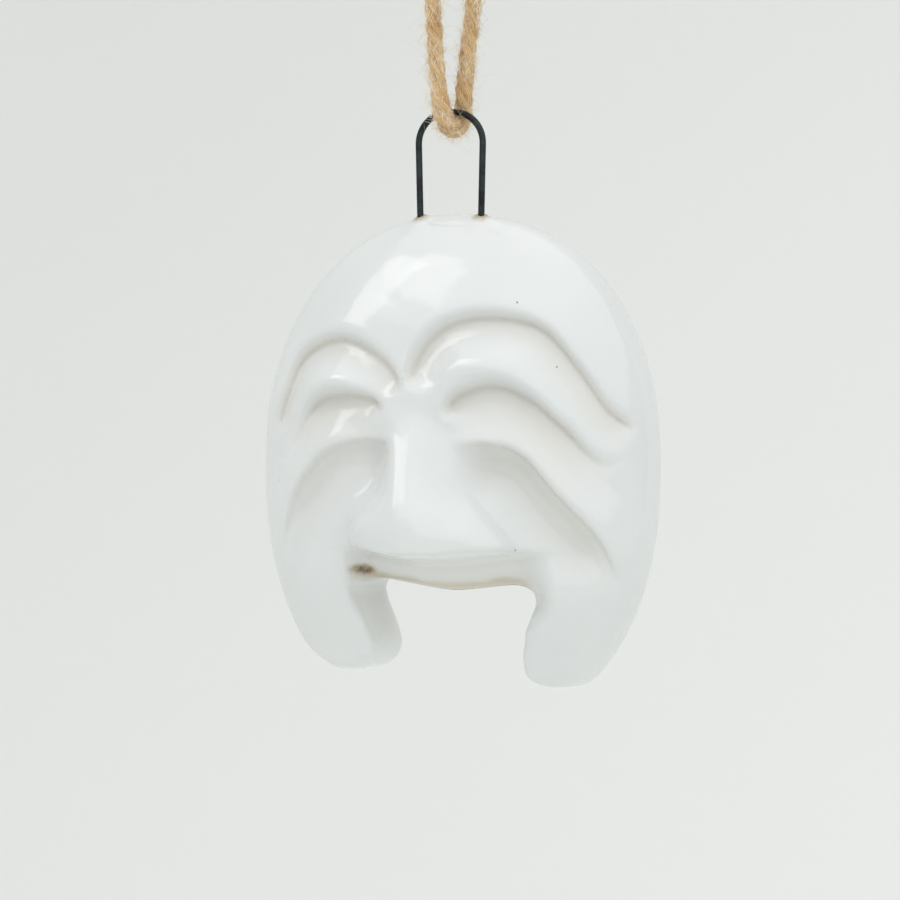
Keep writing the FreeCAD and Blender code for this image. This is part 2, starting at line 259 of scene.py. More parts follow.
@dataclass(frozen=True)
class GlazeFinish:
    """White gloss glaze: thick and grey-green in the folds, with painted shade in and below the folds, thin
    and buff at the edges.
    """

    white: Point = (0.806, 0.829, 0.822)
    cloud: Point = (0.778, 0.804, 0.798)
    # Fold colours: real glaze pooling plus painted shade in and below the folds.
    pooled_shaded: Point = (0.77, 0.765, 0.728)
    deep_pool_shade: Point = (0.66, 0.645, 0.58)
    clay: Point = (0.56, 0.47, 0.37)
    clay_grain: Point = (0.42, 0.34, 0.26)
    thin: Point = (0.60, 0.56, 0.44)
    rust: Point = (0.46, 0.36, 0.22)
    iron: Point = (0.075, 0.048, 0.03)
    pinhole: Point = (0.10, 0.10, 0.09)

    def make(self) -> bpy.types.Material:
        """Build the material.

        Returns:
            The glaze.
        """
        recipe = Recipe("white_glaze")
        drift = recipe.noise(90.0, 2.0)
        white = recipe.blend(recipe.scaled(drift, 0.0, 1.0, 0.35, 0.7), self.white, self.cloud)
        # Real glaze pooling and painted shade darken the white in and below the folds.
        pool_shade = recipe.attribute("pool_shade")
        pooled_shaded = recipe.blend(recipe.scaled(pool_shade, 0.0, 0.9, 0.05, 0.75), white, self.pooled_shaded)
        pooled_shaded = recipe.blend(recipe.scaled(pool_shade, 0.0, 0.8, 0.7, 1.3), pooled_shaded, self.deep_pool_shade)
        thin = recipe.blend(recipe.attribute("thin"), pooled_shaded, self.thin)
        stain = recipe.maths("MULTIPLY", recipe.attribute("stain"),
                             recipe.scaled(recipe.noise(1400.0, 4.0), 0.35, 1.6))
        rusty = recipe.blend(recipe.scaled(stain, 0.0, 0.85, 0.05, 0.35), thin, self.rust)
        stained = recipe.blend(recipe.scaled(stain, 0.0, 1.0, 0.35, 0.8), rusty, self.iron)
        pits = recipe.add("ShaderNodeTexVoronoi")
        pits.inputs["Scale"].default_value = 240.0
        recipe.join(recipe.place.outputs["Object"], pits.inputs["Vector"])
        chance = recipe.add("ShaderNodeSeparateColor")
        recipe.join(pits.outputs["Color"], chance.inputs["Color"])
        rare = recipe.scaled(chance.outputs["Red"], 0.0, 1.0, 0.64, 0.66)
        pit = recipe.maths("MULTIPLY", recipe.scaled(pits.outputs["Distance"], 1.0, 0.0, 0.018, 0.04), rare)
        spotted = recipe.blend(recipe.maths("MULTIPLY", pit, 0.75), stained, self.pinhole)
        bare = recipe.attribute("bare")
        grit = recipe.noise(5200.0, 4.0, 0.65)
        clay = recipe.blend(recipe.scaled(grit, 0.0, 0.5, 0.3, 0.8), self.clay, self.clay_grain)
        colour = recipe.blend(bare, spotted, clay)
        recipe.join(colour, recipe.shader.inputs["Base Color"])
        rough = recipe.maths("ADD", recipe.scaled(recipe.noise(700.0, 3.0), 0.09, 0.16),
                             recipe.scaled(bare, 0.0, 0.62))
        recipe.join(rough, recipe.shader.inputs["Roughness"])
        ripple = recipe.bump(recipe.noise(260.0, 2.0), 0.16, 0.0004)
        orange_peel = recipe.bump(recipe.noise(1900.0, 2.0), 0.05, 0.0001, ripple)
        pitted = recipe.bump(recipe.maths("SUBTRACT", recipe.scaled(bare, 1.0, 1.0), pit), 0.4,
                             0.0002, orange_peel)
        clay_grit = recipe.bump(recipe.maths("MULTIPLY", grit, bare), 0.5, 0.0002, pitted)
        recipe.join(clay_grit, recipe.shader.inputs["Normal"])
        recipe.constants(IOR=1.5, Coat_Weight=0.2, Coat_Roughness=0.05)
        return recipe.material


@dataclass(frozen=True)
class WireFinish:
    """Kiln-fired wire: near black scale with a cold green-blue bloom."""

    scale: Point = (0.017, 0.019, 0.021)
    bloom: Point = (0.038, 0.054, 0.056)
    worn: Point = (0.21, 0.21, 0.20)

    def make(self) -> bpy.types.Material:
        """Build the material.

        Returns:
            The wire's finish.
        """
        recipe = Recipe("fired_wire")
        patches = recipe.noise(800.0, 4.0, 0.6)
        flakes = recipe.noise(3200.0, 3.0, 0.6)
        base = recipe.ramp(patches, [(0.35, self.scale), (0.62, self.bloom), (0.8, self.scale)])
        worn = recipe.blend(recipe.scaled(flakes, 0.0, 0.7, 0.66, 0.78), base, self.worn)
        recipe.join(worn, recipe.shader.inputs["Base Color"])
        recipe.join(recipe.scaled(flakes, 0.3, 0.55), recipe.shader.inputs["Roughness"])
        recipe.join(recipe.bump(flakes, 0.5, 0.00006), recipe.shader.inputs["Normal"])
        recipe.constants(Metallic=0.7)
        return recipe.material


@dataclass(frozen=True)
class JuteFinish:
    """Natural jute: tan fibres that run along each strand, with painted shade between them and painted
    highlights on them.
    """

    # The lightest and darkest stops stand partly for painted highlights on the fibres and painted shade in
    # the gaps between them.
    light_and_highlight: Point = (0.97, 0.75, 0.43)
    middle: Point = (0.72, 0.41, 0.15)
    dark_and_gap_shade: Point = (0.25, 0.09, 0.022)
    pale_hair: Point = (1.0, 0.93, 0.76)
    tan_hair: Point = (0.74, 0.52, 0.28)
    hair: bool = False

    def make(self) -> bpy.types.Material:
        """Build the material.

        Returns:
            The finish of the strands, or of the loose hairs.
        """
        recipe = Recipe("jute_hair" if self.hair else "jute_strand")
        if self.hair:
            tone = recipe.noise(500.0, 2.0)
            colour = recipe.ramp(tone, [(0.36, self.tan_hair), (0.58, self.pale_hair)])
            recipe.join(colour, recipe.shader.inputs["Base Color"])
            recipe.constants(Roughness=0.6, Sheen_Weight=0.3)
            return recipe.material
        fibres = recipe.noise(1.0, 4.0, 0.7, (11.0, 70.0, 1.0), "UV")
        patches = recipe.noise(700.0, 3.0, 0.6)
        # Fibre streaks: real tone variation, with painted shade in the gaps and painted highlights on the
        # raised fibres, on the same noise as the bump.
        tone = recipe.ramp(fibres, [(0.37, self.dark_and_gap_shade), (0.46, self.middle), (0.57, self.light_and_highlight)])
        mixed = recipe.blend(recipe.scaled(patches, 0.0, 0.5, 0.5, 0.75), tone, self.light_and_highlight)
        recipe.join(mixed, recipe.shader.inputs["Base Color"])
        recipe.join(recipe.bump(fibres, 0.9, 0.00016), recipe.shader.inputs["Normal"])
        recipe.constants(Roughness=0.82, Sheen_Weight=0.35, Sheen_Roughness=0.4,
                         Specular_IOR_Level=0.25)
        return recipe.material


# ---------------------------------------------------------------- mesh helpers


def linked(name: str, data: bpy.types.ID) -> bpy.types.Object:
    """Put new data in the scene as an object.

    Args:
        name: The object's name.
        data: Its mesh, curve, light or camera.

    Returns:
        The new object.
    """
    item = bpy.data.objects.new(name, data)
    bpy.context.scene.collection.objects.link(item)
    return item


def piece_from(mesh: bpy.types.Mesh, name: str, material: bpy.types.Material) -> bpy.types.Object:
    """Put a mesh in the scene as a smooth, dressed piece.

    Args:
        mesh: The mesh, already in metres and in place.
        name: The piece's name.
        material: Its finish.

    Returns:
        The new object.
    """
    mesh.name = name
    piece = linked(name, mesh)
    mesh.materials.clear()
    mesh.materials.append(material)
    mesh.shade_smooth()
    return piece


def evaluated_mesh(piece: bpy.types.Object) -> bpy.types.Mesh:
    """Apply an object's modifiers or curve settings.

    Args:
        piece: A mesh or curve object.

    Returns:
        A new mesh with everything applied.
    """
    graph = bpy.context.evaluated_depsgraph_get()
    return bpy.data.meshes.new_from_object(piece.evaluated_get(graph))


def mesh_from(name: str, form: bmesh.types.BMesh) -> bpy.types.Mesh:
    """Turn a bmesh into a mesh and free it.

    Args:
        name: The mesh's name.
        form: The bmesh.

    Returns:
        The mesh.
    """
    mesh = bpy.data.meshes.new(name)
    form.to_mesh(mesh)
    form.free()
    return mesh


def discard(*helpers: bpy.types.Object) -> None:
    """Remove helper objects."""
    for helper in helpers:
        bpy.data.objects.remove(helper)


def new_curve(name: str) -> bpy.types.Curve:
    """Start an empty curve in three dimensions.

    Args:
        name: The curve's name.

    Returns:
        The curve.
    """
    data = bpy.data.curves.new(name, "CURVE")
    data.dimensions = "3D"
    return data


def curve_mesh(data: bpy.types.Curve) -> bpy.types.Mesh:
    """Mesh a curve as its own settings draw it.

    Args:
        data: The curve.

    Returns:
        A new mesh.
    """
    helper = linked(data.name, data)
    mesh = evaluated_mesh(helper)
    discard(helper)
    return mesh


def pull(form: bmesh.types.BMesh, made: list[bmesh.types.BMVert | bmesh.types.BMEdge | bmesh.types.BMFace],
         way: Point) -> None:
    """Move what an extrusion made, and turn every face outwards.

    Args:
        form: The bmesh.
        made: What the extrusion made.
        way: How far to move it.
    """
    points = [item for item in made if isinstance(item, bmesh.types.BMVert)]
    bmesh.ops.translate(form, vec=way, verts=points)
    bmesh.ops.recalc_face_normals(form, faces=form.faces)


def smooth_share(value: np.ndarray, low: float, high: float) -> np.ndarray:
    """Smooth step from 0 at low to 1 at high."""
    share = np.clip((value - low) / (high - low), 0.0, 1.0)
    return share * share * (3.0 - 2.0 * share)


def hump(value: np.ndarray, centre: float, width: float) -> np.ndarray:
    """Smooth bump of height 1."""
    return np.exp(-(((value - centre) / width) ** 2))


# ---------------------------------------------------------------- the face


def flow(value: np.ndarray, stops: tuple[FlatPoint, ...], rounding: float) -> np.ndarray:
    """Run smoothly through a short table of numbers.

    Args:
        value: Where to read the table.
        stops: The table's (place, height) pairs, lowest place first.
        rounding: How widely its corners are rounded, in the units of place.

    Returns:
        The height at each value.
    """
    places, heights = zip(*stops)
    reach = np.linspace(places[0] - 3.0 * rounding, places[-1] + 3.0 * rounding, 600)
    step = reach[1] - reach[0]
    half = max(1, int(2.5 * rounding / step))
    kernel = np.exp(-((np.arange(-half, half + 1) * step / rounding) ** 2))
    padded = np.pad(np.interp(reach, places, heights), half, mode="edge")
    soft = np.convolve(padded, kernel / kernel.sum(), mode="valid")
    return np.interp(value, reach, soft)


class FoldProfile(Enum):
    """Heights across a fold in mm: (distance above its line, height)."""

    BROW = ((-8.0, 0.0), (-6.2, 0.25), (-4.9, 0.1), (-3.5, -0.7), (-2.1, -1.35), (-0.8, -1.7),
            (0.0, -1.6), (0.6, -0.95), (1.2, 0.1), (2.0, 0.35), (3.4, 0.25), (7.0, 0.0))
    LID = ((-9.0, 0.0), (-7.2, -0.2), (-5.4, -0.6), (-3.6, -1.05), (-2.0, -1.4), (-0.9, -1.65),
           (0.0, -1.65), (0.5, -1.05), (1.2, 0.4), (2.1, 1.05), (3.2, 1.0), (4.8, 0.45), (6.5, 0.0))
    LOWER_LEFT = ((-17.0, 0.0), (-9.0, -0.9), (-5.0, -1.5), (-2.6, -1.75), (-1.2, -1.5), (-0.4, -0.8),
                  (0.3, 0.15), (1.1, 0.65), (2.0, 0.6), (4.5, 0.0))
    LOWER_RIGHT = ((-11.0, 0.0), (-8.0, -0.7), (-5.2, -1.9), (-3.6, -2.3), (-2.0, -1.9), (-0.6, -0.8),
                   (0.2, 0.2), (0.9, 0.8), (1.8, 0.8), (3.2, 0.35), (5.0, 0.0))


@dataclass(frozen=True)
class FoldLine:
    """One fold of the face, drawn by its groove.

    Points are (x, z) in mm from the crown of the head, from the nose outwards.
    """

    points: tuple[FlatPoint, ...]
    profile: FoldProfile
    strength: float = 1.0
    fade_in: float = 0.1
    fade_out: float = 0.3
    # Glaze pooling plus painted shade along the groove, and a broad painted shade below the line.
    pool_shade: float = 1.0
    wide_shade: float = 0.0
    rounding: float = 0.3
    easing: float = 2.5
    bare_start: float = 0.04
    per_span: int = 8

    def curve(self) -> np.ndarray:
        """Smooth the line's points.

        Returns:
            Points along a Catmull-Rom curve.
        """
        ends = np.array([self.points[0], *self.points, self.points[-1]])
        curve = []
        for a, b, c, d in zip(ends, ends[1:], ends[2:], ends[3:]):
            for t in np.linspace(0.0, 1.0, self.per_span, endpoint=False):
                curve.append(0.5 * (2 * b + (c - a) * t + (2 * a - 5 * b + 4 * c - d) * t * t
                                    + (3 * b - a - 3 * c + d) * t ** 3))
        curve.append(ends[-1])
        return np.array(curve)

    def spans(self, x: np.ndarray, z: np.ndarray) -> Iterator[tuple[np.ndarray, np.ndarray, np.ndarray]]:
        """Measure each point against each short span of the line.

        Args:
            x: Places across the face.
            z: Places up the face.

        Yields:
            Distance, which side of the span (1 above), and position along the whole line, 0 to 1.
        """
        curve = self.curve()
        outward = 1.0 if curve[-1, 0] > curve[0, 0] else -1.0
        count = len(curve) - 1
        for index, (start, end) in enumerate(zip(curve, curve[1:])):
            dx, dz = end - start
            share = np.clip(((x - start[0]) * dx + (z - start[1]) * dz) / (dx * dx + dz * dz), 0, 1)
            gap = np.hypot(x - start[0] - dx * share, z - start[1] - dz * share)
            side = np.sign(outward * (dx * (z - start[1]) - dz * (x - start[0])))
            yield gap, side, (index + share) / count

    def shape(self, x: np.ndarray, z: np.ndarray) -> tuple[np.ndarray, np.ndarray]:
        """Height of the fold and its glaze pooling with painted shade, eased where two spans are as near.

        Args:
            x: Places across the face.
            z: Places up the face.

        Returns:
            Height in mm, and pooling with painted shade from 0 to 1.
        """
        nearest = np.full(x.shape, 1e9)
        for gap, _, _ in self.spans(x, z):
            nearest = np.minimum(nearest, gap)
        total, signed, fade, rise = (np.zeros(x.shape) for _ in range(4))
        for gap, side, along in self.spans(x, z):
            weight = np.exp(-np.minimum(self.easing * (gap - nearest), 40.0))
            leaving = smooth_share(1.0 - along, 0.0, self.fade_out)
            total += weight
            signed += weight * gap * side
            fade += weight * leaving * smooth_share(along, self.bare_start, self.fade_in)
            rise += weight * leaving * smooth_share(along, self.bare_start, 2.0 * self.fade_in + 0.1)
        signed, fade, rise = signed / total, fade / total, rise / total
        height = flow(signed, self.profile.value, self.rounding) * self.strength
        # Narrow glaze pooling at the groove, with a wider painted shade below it.
        pool_shade = self.pool_shade * (hump(signed, 0.1, 0.55) + 0.6 * hump(signed, -1.1, 1.6))
        pool_shade += self.wide_shade * hump(signed, -3.0, 2.6)
        return height * np.where(height > 0.0, rise, fade), pool_shade * fade


@dataclass(frozen=True)
class Swell:
    """A soft local rise or dip; its shares below 1 stretch it along x or z."""

    x: float
    z: float
    height: float
    reach: float
    x_share: float = 1.0
    z_share: float = 1.0

    def shape(self, x: np.ndarray, z: np.ndarray) -> np.ndarray:
        """Height of the swell at each place, in mm."""
        away = np.hypot((x - self.x) * self.x_share, (z - self.z) * self.z_share)
        return self.height * hump(away, 0.0, self.reach)


@dataclass
class FaceRelief:
    """All the features that stand on the plain dome of the mask, in mm."""

    folds: tuple[FoldLine, ...] = (
        FoldLine(((-2.5, -23.5), (-5.5, -19.0), (-12.0, -16.0), (-18.0, -18.0), (-21.0, -23.5),
                  (-22.5, -28.0)), FoldProfile.BROW, 0.9, 0.13, 0.14),
        FoldLine(((-2.5, -23.5), (-1.0, -18.0), (2.5, -14.5), (8.0, -13.5), (14.0, -15.0),
                  (18.5, -20.0), (22.0, -25.0), (25.0, -27.5)), FoldProfile.BROW, 1.0, 0.1, 0.1),
        FoldLine(((-5.0, -25.5), (-7.5, -23.5), (-12.0, -23.0), (-16.0, -24.5), (-20.5, -31.0)),
                 FoldProfile.LID, 0.95, 0.22, 0.3, 1.0, 0.4),
        FoldLine(((3.0, -26.5), (4.0, -23.5), (8.5, -22.0), (13.0, -23.5), (17.0, -27.0),
                  (21.0, -31.0), (24.5, -31.0)), FoldProfile.LID, 1.0, 0.14, 0.34, 1.0, 0.35),
        FoldLine(((-2.5, -29.0), (-8.0, -28.5), (-13.5, -30.0), (-18.0, -34.5), (-20.5, -40.0),
                  (-21.5, -45.0)), FoldProfile.LOWER_LEFT, 1.1, 0.14, 0.45, 0.4, 0.35),
        FoldLine(((3.0, -29.5), (8.0, -29.0), (12.5, -30.5), (16.5, -35.0), (21.0, -40.5),
                  (23.0, -46.5)), FoldProfile.LOWER_RIGHT, 1.35, 0.2, 0.22, 0.5, 0.6),
    )
    nose_top: float = -25.4
    nose_tip: float = -41.5
    ridge_line: tuple[FlatPoint, ...] = ((0.0, -2.6), (0.4, -1.7), (0.75, -0.5), (1.0, 0.4), (1.2, 0.9))
    ridge_height: tuple[FlatPoint, ...] = ((-0.1, 0.0), (0.14, 1.05), (0.45, 3.3), (0.76, 5.6), (0.95, 6.4),
                                           (1.2, 6.6))
    left_width: tuple[FlatPoint, ...] = ((0.0, 1.8), (0.28, 2.6), (0.45, 3.7), (0.6, 5.6), (0.75, 8.8),
                                         (0.86, 10.2), (1.0, 10.6), (1.2, 10.4))
    right_width: tuple[FlatPoint, ...] = ((0.0, 2.8), (0.3, 4.2), (0.6, 7.4), (0.8, 9.6), (1.0, 11.4),
                                          (1.2, 12.0))
    nose_wings: tuple[Swell, ...] = (Swell(-7.4, -39.6, 0.8, 2.9), Swell(8.6, -40.2, 0.5, 3.4))
    swells: tuple[Swell, ...] = (
        Swell(-6.8, -32.5, -0.9, 2.4, z_share=0.6),
        Swell(-2.3, -21.6, 0.3, 2.6, z_share=0.8),
        Swell(-2.2, -26.6, -0.2, 3.0, z_share=0.7),
        Swell(-8.0, -27.4, -0.5, 1.5, x_share=0.45),
        Swell(6.5, -27.0, -0.35, 1.7, x_share=0.4),
        Swell(16.5, -49.0, 0.9, 6.5, z_share=0.7),
        Swell(-15.5, -48.0, 0.9, 6.0, z_share=0.7),
    )
    table_round: float = 0.08
    ridge_round: float = 1.0
    ridge_flat: float = 0.65
    bulb_share: float = 0.55
    lip_start: float = 2.2
    lip_slant: float = 0.6

    def nose_base(self, x: np.ndarray) -> np.ndarray:
        """Height of the nose's lower edge at each x."""
        return -43.3 + 1.3 * smooth_share(-x, 1.0, 11.0) + 0.9 * smooth_share(x, 2.0, 12.5)

    def nose(self, x: np.ndarray, z: np.ndarray) -> np.ndarray:
        """Height of the nose: a thin ridge on broad flanks that end in a sharp base.

        Args:
            x: Places across the face.
            z: Places up the face.

        Returns:
            Height in mm.
        """
        drop = np.clip((self.nose_top - z) / (self.nose_top - self.nose_tip), -0.2, 1.25)
        offset = x - flow(drop, self.ridge_line, self.table_round)
        left = flow(drop, self.left_width, self.table_round)
        right = flow(drop, self.right_width, self.table_round)
        width = left + (right - left) * smooth_share(offset, -0.8, 0.8)
        round_share = self.ridge_round / width
        beside = np.maximum(np.abs(offset) - self.ridge_flat, 0.0) / width
        tent = 1.0 + round_share - np.sqrt(beside ** 2 + round_share ** 2)
        foot = 0.3
        sides = np.where(np.abs(tent) < foot, (tent + foot) ** 2 / (4.0 * foot), np.maximum(tent, 0.0))
        bulb = np.sqrt(np.maximum(1.02 - (offset / width) ** 2, 0.0))
        bulb *= smooth_share(bulb, 0.0, 0.5)
        sides += (bulb - sides) * self.bulb_share * smooth_share(drop, 0.45, 0.95)
        base = smooth_share(z - self.nose_base(x), -0.45, 0.75)
        wings = sum(wing.shape(x, z) for wing in self.nose_wings)
        return (flow(drop, self.ridge_height, self.table_round) * sides + wings) * base

    def lip(self, x: np.ndarray, z: np.ndarray) -> np.ndarray:
        """Depth of the band between the nose and the mouth's edge.

        Args:
            x: Places across the face.
            z: Places up the face.

        Returns:
            Height in mm, below 0.
        """
        below = self.nose_base(x) - z
        left_edge = x + 10.8 - 0.4 * np.clip(-45.0 - z, 0.0, 8.0)
        across = smooth_share(left_edge, -0.9, 1.5) * smooth_share(-x, -16.2, -9.8)
        under = smooth_share(below, -0.4, 0.9)
        fade = 1.0 - smooth_share(below, 5.0, 10.0)
        return -(self.lip_start + self.lip_slant * np.clip(below, 0.0, 5.0)) * across * under * fade

    def height(self, x: np.ndarray, z: np.ndarray) -> tuple[np.ndarray, np.ndarray]:
        """Total height, and glaze pooling with painted shade.

        Args:
            x: Places across the face.
            z: Places up the face.

        Returns:
            Height in mm, and pooling with painted shade.
        """
        total = self.nose(x, z) + self.lip(x, z)
        pool_shade = np.zeros(x.shape)
        for fold in self.folds:
            height, pooled_shaded = fold.shape(x, z)
            total += height
            pool_shade += pooled_shaded
        total += sum(swell.shape(x, z) for swell in self.swells)
        # Glaze pooling plus painted shade in the recessed band under the nose.
        below = self.nose_base(x) - z
        across = smooth_share(x, -12.0, -9.6) * smooth_share(-x, -14.0, -11.6)
        pool_shade += (0.6 * hump(below, 0.7, 0.7) + 0.9 * smooth_share(below, 0.4, 3.5)
                 * (1.0 - smooth_share(below, 5.0, 7.0))) * across
        return total, pool_shade


@dataclass
class ReliefMap:
    """The face's height, and glaze pooling with painted shade, on an even grid."""

    across: np.ndarray
    up: np.ndarray
    height: np.ndarray
    pool_shade: np.ndarray

    def read(self, x: np.ndarray, z: np.ndarray) -> tuple[np.ndarray, np.ndarray]:
        """Read both, evenly between the grid's points.

        Args:
            x: Places across the face.
            z: Places up the face.

        Returns:
            Height in mm, and pooling with painted shade.
        """
        step = self.across[1] - self.across[0]
        column = np.clip((x - self.across[0]) / step, 0, len(self.across) - 1.001)
        row = np.clip((z - self.up[0]) / step, 0, len(self.up) - 1.001)
        i, j = row.astype(int), column.astype(int)
        s, t = row - i, column - j
        found = []
        for values in (self.height, self.pool_shade):
            low = values[i, j] * (1 - t) + values[i, j + 1] * t
            high = values[i + 1, j] * (1 - t) + values[i + 1, j + 1] * t
            found.append(low * (1 - s) + high * s)
        return found[0], found[1]


@dataclass
class MaskShell:
    """The fired clay mask: dome, hollow, mouth gap and cheek lobes, then its face."""

    finish: GlazeFinish = field(default_factory=GlazeFinish)
    relief: FaceRelief = field(default_factory=FaceRelief)
    side_wall: float = 6.2
    rise: float = 11.0
    dome_power: float = 2.6
    dome_round: float = 0.66
    wall: float = 4.8
    hollow_rise: float = 12.6
    hollow_foot: float = 41.5
    crown_power: float = 2.12
    jaw_power: float = 2.3
    crown_share: float = 0.524
    jaw_share: float = 0.571
    chin_fall: float = 4.0
    gap_outline: tuple[Point, ...] = (
        (17.2, -59.2, 7.0),
        (9.2, -59.2, 2.8),
        (12.9, -45.9, 3.0),
        (1.0, -47.3, 12.0),
        (-12.4, -45.0, 2.0),
        (-7.2, -57.4, 4.2),
        (-15.8, -57.4, 9.0),
    )
    plate_half: float = 34.0
    plate_ahead: float = 40.0
    plate_depth: float = 60.0
    coarse_voxel: float = 0.7
    map_spacing: float = 0.22
    softening: int = 22
    wire_half: float = 4.1
    collar: float = 0.75
    collar_reach: float = 1.15
    root_stain: float = 0.62
    root_reach: float = 0.95
    lip_stain: float = 0.8
    lip_stain_at: FlatPoint = (-9.9, -44.6)
    bare_depth: float = 0.35
    rim_depth: float = 1.6

    def __post_init__(self) -> None:
        """Read the mask's place from the CAD frame."""
        low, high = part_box("mask_shell")
        self.half_width = (high[0] - low[0]) / 2 / MM
        self.height = (high[2] - low[2]) / MM
        self.crown = high[2] / MM
        self.back = high[1] / MM

    def outline_radius(self, x: np.ndarray, z: np.ndarray) -> np.ndarray:
        """How far out each point lies: 0 mid-face, 1 on the outline.

        Args:
            x: Places across the face.
            z: Places up the face, from the crown.

        Returns:
            Radius as a share of the outline.
        """
        middle = -self.crown_share * self.height
        above = z > middle
        power = np.where(above, self.crown_power, self.jaw_power)
        reach = np.where(above, self.crown_share, self.jaw_share) * self.height
        return ((np.abs(x) / self.half_width) ** power
                + (np.abs(z - middle) / reach) ** power) ** (1.0 / power)

    def dome(self, radius: np.ndarray) -> np.ndarray:
        """How far the plain face stands in front of the flat back."""
        inside = np.clip(1.0 - np.minimum(radius, 1.0) ** self.dome_power, 0.0, 1.0)
        return self.side_wall + self.rise * inside ** self.dome_round

    def egg_ball(self, inset: float, side: float, rise: float, past_back: float,
                 foot: float) -> bmesh.types.BMesh:
        """A ball pulled to the mask's egg outline, domed in front and flat behind.

        Args:
            inset: Distance inside the outline.
            side: Height of the straight side.
            rise: Height of the dome over it.
            past_back: How far it runs behind the flat back.
            foot: Distance of its lowest point from the crown.

        Returns:
            A closed bmesh, in mm.
        """
        form = bmesh.new()
        bmesh.ops.create_uvsphere(form, u_segments=144, v_segments=72, radius=1.0)
        bmesh.ops.rotate(form, verts=form.verts, cent=(0, 0, 0), matrix=Matrix.Rotation(math.pi / 2, 3, "X"))
        up = self.crown_share * self.height
        for vert in form.verts:
            out = min(1.0, math.hypot(vert.co.x, vert.co.z))
            cosine, sine = (vert.co.x / out, vert.co.z / out) if out > 1e-6 else (1.0, 0.0)
            above = sine > 0.0
            power = self.crown_power if above else self.jaw_power
            reach = up - inset if above else foot - up
            wide = self.half_width - inset
            size = (abs(cosine / wide) ** power + abs(sine / reach) ** power) ** (-1.0 / power)
            front = vert.co.y < 1e-4
            bulge = side + rise * max(0.0, 1.0 - out ** self.dome_power) ** self.dome_round
            vert.co = Vector((out * size * cosine,
                              self.back - bulge if front else self.back + past_back,
                              self.crown - up + out * size * sine))
        bmesh.ops.recalc_face_normals(form, faces=form.faces)
        return form

    def template(self) -> bmesh.types.BMesh:
        """A thick plate with the mouth gap and the rounded lobe ends cut in its edge.

        Returns:
            A closed bmesh, in mm.
        """
        form = bmesh.new()
        side = self.plate_half
        outline = [(-side, 12.0, 0.0), (side, 12.0, 0.0), (side, -47.0, 0.0), *self.gap_outline,
                   (-side, -45.0, 0.0)]
        outline = [(x, z + self.crown, radius) for x, z, radius in outline]
        start = self.back - self.plate_ahead
        corners = [form.verts.new((x, start, z)) for x, z, _ in outline]
        made = bmesh.ops.extrude_face_region(form, geom=[form.faces.new(corners)])["geom"]
        pull(form, made, (0, self.plate_depth, 0))
        neighbours = zip([outline[-1], *outline[:-1]], outline, [*outline[1:], outline[0]])
        for (x0, z0, _), (x, z, radius), (x1, z1, _) in neighbours:
            if radius <= 0.0:
                continue
            edges = [e for e in form.edges
                     if all(math.hypot(v.co.x - x, v.co.z - z) < 0.01 for v in e.verts)]
            corner = Vector((x0 - x, z0 - z)).angle(Vector((x1 - x, z1 - z)))
            bmesh.ops.bevel(form, geom=edges, offset=radius * (1.0 + math.cos(corner)),
                            offset_type="OFFSET", affect="EDGES", segments=8, profile=0.5, material=-1)
        return form

    def blank(self) -> bpy.types.Mesh:
        """The shell without its face, evenly meshed with soft edges.

        Returns:
            A closed mesh, in mm.
        """
        full = (self.crown_share + self.jaw_share) * self.height
        forms = {
            "egg": self.egg_ball(0.0, self.side_wall, self.rise, 0.0, full),
            "hollow": self.egg_ball(self.wall, 0.0, self.hollow_rise, 3.0, self.hollow_foot),
            "plate": self.template(),
        }
        base, hollow, plate = (linked(name, mesh_from(name, form)) for name, form in forms.items())
        for tool, how in ((plate, "INTERSECT"), (hollow, "DIFFERENCE")):
            cut = base.modifiers.new(how, "BOOLEAN")
            cut.object = tool
            cut.operation = how
            cut.solver = "EXACT"
        even = base.modifiers.new("even", "REMESH")
        even.mode = "VOXEL"
        even.voxel_size = self.coarse_voxel
        soft = base.modifiers.new("soft", "SMOOTH")
        soft.factor = 0.5
        soft.iterations = self.softening
        fine = base.modifiers.new("fine", "SUBSURF")
        fine.levels = 1
        fine.render_levels = 1
        mesh = evaluated_mesh(base)
        discard(base, hollow, plate)
        return mesh

    def relief_map(self) -> ReliefMap:
        """Work the face out once on an even grid that covers the mask.

        Returns:
            The face's height, and pooling with painted shade.
        """
        half, low = self.half_width + 1.0, -self.height - 1.0
        across = np.arange(-half, half, self.map_spacing)
        up = np.arange(low, 1.0, self.map_spacing)
        x, z = np.meshgrid(across, up)
        return ReliefMap(across, up, *self.relief.height(x, z))

    def sculpt(self, mesh: bpy.types.Mesh) -> None:
        """Lean the cheeks back, raise the face and the wire's collars, and note the glaze and its painted
        shade.

        Args:
            mesh: The blank, in mm; it is changed.
        """
        count = len(mesh.vertices)
        places = np.empty(count * 3)
        mesh.vertices.foreach_get("co", places)
        places = places.reshape(-1, 3)
        normals = np.empty(count * 3)
        mesh.vertices.foreach_get("normal", normals)
        normals = normals.reshape(-1, 3)
        x, z = places[:, 0].copy(), places[:, 2] - self.crown
        radius = self.outline_radius(x, z)
        height, pool_shade = self.relief_map().read(x, z)
        depth = np.clip((self.back - places[:, 1]) / self.dome(radius), 0.0, 1.1)
        lean = self.chin_fall * smooth_share(-z, 36.0, 60.0) * (1.0 - radius ** 4)
        outside = smooth_share(-normals[:, 1], -0.35, 0.15)
        share = smooth_share(depth, 0.35, 0.95) * outside * (1.0 - smooth_share(radius, 0.94, 1.02))
        places[:, 1] += np.maximum(lean, 0.0) * depth - height * share
        root = np.hypot(np.abs(x) - self.wire_half, places[:, 1])
        top = smooth_share(normals[:, 2], 0.15, 0.6) * smooth_share(z, -7.0, -4.0)
        places[:, 2] += self.collar * hump(root, 0.0, self.collar_reach) * top
        mesh.vertices.foreach_set("co", places.reshape(-1))
        mesh.update()
        front = smooth_share(depth, 0.6, 0.9) * outside
        self.note_glaze(mesh, places, normals, pool_shade * front, front)

